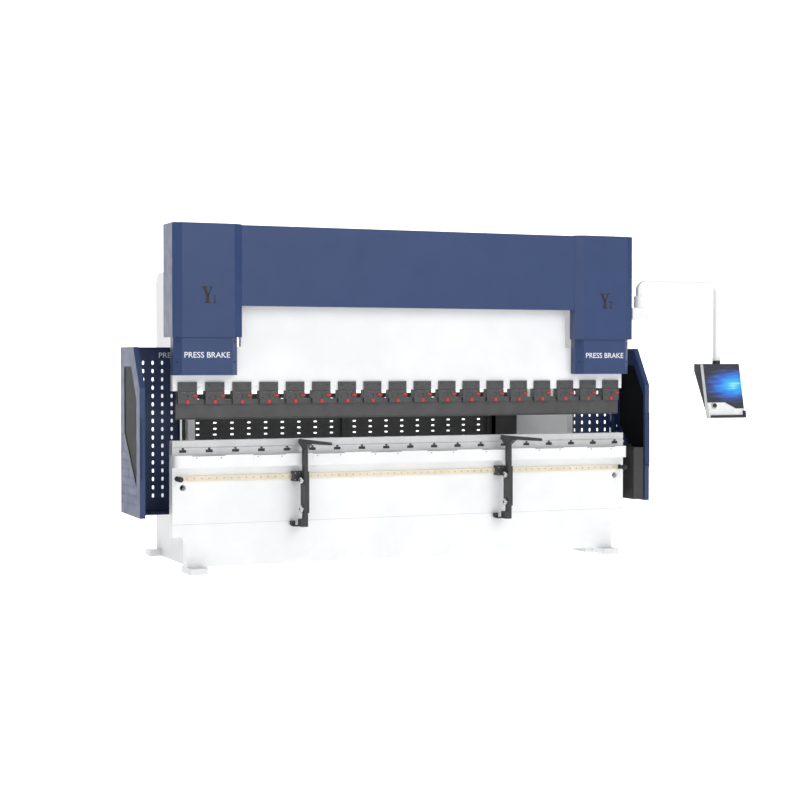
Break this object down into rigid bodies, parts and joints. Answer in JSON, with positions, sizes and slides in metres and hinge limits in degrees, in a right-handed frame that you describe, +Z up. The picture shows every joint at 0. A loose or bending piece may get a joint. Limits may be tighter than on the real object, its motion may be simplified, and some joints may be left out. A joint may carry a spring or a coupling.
{
  "type": "press brake",
  "caption": "Hydraulic press brake with C-frames, ram and quick tool clamps, slotted table, side guards, sheet supports, backgauge and swivelling operator pendant.",
  "frame": {"origin": "centre of the rectangle of four anchor bolt holes, at floor level", "axes": "+X along the table towards the operator pendant, +Y towards the rear, +Z up"},
  "size_m": [5.391, 2.257, 2.707],
  "materials": {
    "white_paint": "semi-gloss powder coat",
    "grey_paint": "satin powder coat",
    "blue_paint": "satin powder coat",
    "dark_paint": "matt powder coat",
    "tool_steel": "blackened tool steel",
    "machined_steel": "ground steel",
    "rail_steel": "ground and oiled",
    "chrome_rod": "hard chrome",
    "cast_bronze": "machined",
    "red_plastic": "satin",
    "black_plastic": "fine texture",
    "white_plastic": "fine texture",
    "silver_metal": "polished",
    "tinted_pane": "tinted polycarbonate",
    "screen_glass": "display glass"
  },
  "bodies": {
    "root": {"right_side_frame": "white_paint", "left_side_frame": "white_paint", "bed_plate": "white_paint", "tie_beams": "white_paint", "table_rail": "machined_steel", "lower_die": "machined_steel", "front_band": "white_paint", "access_plates": "white_paint", "support_rail": "rail_steel", "rail_end_stops": "black_plastic", "cylinders": "dark_paint", "valve_manifolds": "silver_metal", "oil_tank": "grey_paint", "pump_motor": "grey_paint", "hydraulic_pipes": "silver_metal", "cylinder_covers": "blue_paint", "beam_cover": "blue_paint", "ram_guide_rails": "machined_steel", "guard_panels": "blue_paint", "junction_box": "dark_paint", "encoder_brackets": "dark_paint", "arm_mount": "white_paint", "backgauge_guides": "grey_paint", "rear_guard_frame": "dark_paint", "hinge_pins": "machined_steel"},
    "ram": {"ram_plate": "white_paint", "clamp_bodies": "tool_steel", "clamp_plates": "tool_steel", "punch": "tool_steel", "piston_rods": "chrome_rod", "ram_covers": "blue_paint", "ram_guide_shoes": "cast_bronze"},
    "clamp_locks": {"clamp_locks": "red_plastic"},
    "clamp_buttons": {"clamp_buttons": "red_plastic"},
    "left_door": {"left_door": "blue_paint", "left_door_window": "tinted_pane", "left_door_handle": "blue_paint"},
    "right_door": {"right_door": "blue_paint", "right_door_window": "tinted_pane", "right_door_handle": "blue_paint"},
    "left_rear_door": {"left_rear_door": "dark_paint"},
    "right_rear_door": {"right_rear_door": "dark_paint"},
    "left_support": {"left_support_carriage": "dark_paint"},
    "right_support": {"right_support_carriage": "dark_paint"},
    "left_post": {"left_support_post": "dark_paint"},
    "right_post": {"right_support_post": "dark_paint"},
    "left_upper_knob": {"left_upper_knob": "silver_metal"},
    "left_lower_knob": {"left_lower_knob": "silver_metal"},
    "right_upper_knob": {"right_upper_knob": "silver_metal"},
    "right_lower_knob": {"right_lower_knob": "silver_metal"},
    "backgauge_carriage": {"backgauge_carriage": "grey_paint"},
    "backgauge_beam": {"backgauge_beam": "machined_steel"},
    "left_finger": {"left_finger": "tool_steel"},
    "right_finger": {"right_finger": "tool_steel"},
    "pendant_arm": {"pendant_arm": "white_paint"},
    "pendant": {"pendant_housing": "black_plastic", "pendant_bezel": "white_plastic", "pendant_screen": "screen_glass", "pendant_handle": "black_plastic"},
    "emergency_stop": {"emergency_stop": "black_plastic"}
  },
  "joints": [
    {"name": "ram_stroke", "type": "slide", "parent": "root", "child": "ram", "axis": [0, 0, -1], "range_m": [0, 0.17]},
    {"name": "clamp_lock_slide", "type": "slide", "parent": "ram", "child": "clamp_locks", "axis": [-1, 0, 0], "range_m": [0, 0.012]},
    {"name": "clamp_button_push", "type": "slide", "parent": "ram", "child": "clamp_buttons", "axis": [0, 1, 0], "range_m": [0, 0.004], "stiffness_N_per_m": 400},
    {"name": "left_door_hinge", "type": "hinge", "parent": "root", "child": "left_door", "pos_m": [-2.236, -0.026, 1.1], "axis": [0, 0, -1], "range_deg": [0, 110]},
    {"name": "right_door_hinge", "type": "hinge", "parent": "root", "child": "right_door", "pos_m": [2.236, -0.026, 1.1], "axis": [0, 0, 1], "range_deg": [0, 110]},
    {"name": "left_rear_door_hinge", "type": "hinge", "parent": "root", "child": "left_rear_door", "pos_m": [-1.478, 0.905, 0.755], "axis": [0, 0, 1], "range_deg": [0, 110]},
    {"name": "right_rear_door_hinge", "type": "hinge", "parent": "root", "child": "right_rear_door", "pos_m": [1.478, 0.905, 0.755], "axis": [0, 0, -1], "range_deg": [0, 110]},
    {"name": "left_support_travel", "type": "slide", "parent": "root", "child": "left_support", "axis": [1, 0, 0], "range_m": [-0.85, 0.8]},
    {"name": "right_support_travel", "type": "slide", "parent": "root", "child": "right_support", "axis": [1, 0, 0], "range_m": [-0.75, 1]},
    {"name": "left_post_height", "type": "slide", "parent": "left_support", "child": "left_post", "axis": [0, 0, 1], "range_m": [-0.03, 0.02]},
    {"name": "right_post_height", "type": "slide", "parent": "right_support", "child": "right_post", "axis": [0, 0, 1], "range_m": [-0.03, 0.02]},
    {"name": "left_upper_knob_turn", "type": "hinge", "parent": "left_support", "child": "left_upper_knob", "pos_m": [-0.958, -0.761, 0.706], "axis": [1, 0, 0], "continuous": true},
    {"name": "left_lower_knob_turn", "type": "hinge", "parent": "left_support", "child": "left_lower_knob", "pos_m": [-0.958, -0.761, 0.48], "axis": [1, 0, 0], "continuous": true},
    {"name": "right_upper_knob_turn", "type": "hinge", "parent": "right_support", "child": "right_upper_knob", "pos_m": [0.834, -0.761, 0.706], "axis": [1, 0, 0], "continuous": true},
    {"name": "right_lower_knob_turn", "type": "hinge", "parent": "right_support", "child": "right_lower_knob", "pos_m": [0.834, -0.761, 0.48], "axis": [1, 0, 0], "continuous": true},
    {"name": "backgauge_depth", "type": "slide", "parent": "root", "child": "backgauge_carriage", "axis": [0, -1, 0], "range_m": [0, 0.32]},
    {"name": "backgauge_height", "type": "slide", "parent": "backgauge_carriage", "child": "backgauge_beam", "axis": [0, 0, 1], "range_m": [0, 0.07]},
    {"name": "left_finger_travel", "type": "slide", "parent": "backgauge_beam", "child": "left_finger", "axis": [1, 0, 0], "range_m": [-0.6, 0.4]},
    {"name": "right_finger_travel", "type": "slide", "parent": "backgauge_beam", "child": "right_finger", "axis": [1, 0, 0], "range_m": [-0.4, 0.6]},
    {"name": "pendant_arm_swing", "type": "hinge", "parent": "root", "child": "pendant_arm", "pos_m": [2.157, -0.638, 2.16], "axis": [0, 0, 1], "range_deg": [-90, 5]},
    {"name": "pendant_turn", "type": "hinge", "parent": "pendant_arm", "child": "pendant", "pos_m": [2.947, -0.638, 1.64], "axis": [0, 0, 1], "range_deg": [-60, 60]},
    {"name": "emergency_stop_push", "type": "slide", "parent": "pendant", "child": "emergency_stop", "axis": [0, 0.9781, -0.2079], "range_m": [0, 0.005], "stiffness_N_per_m": 800}
  ]
}
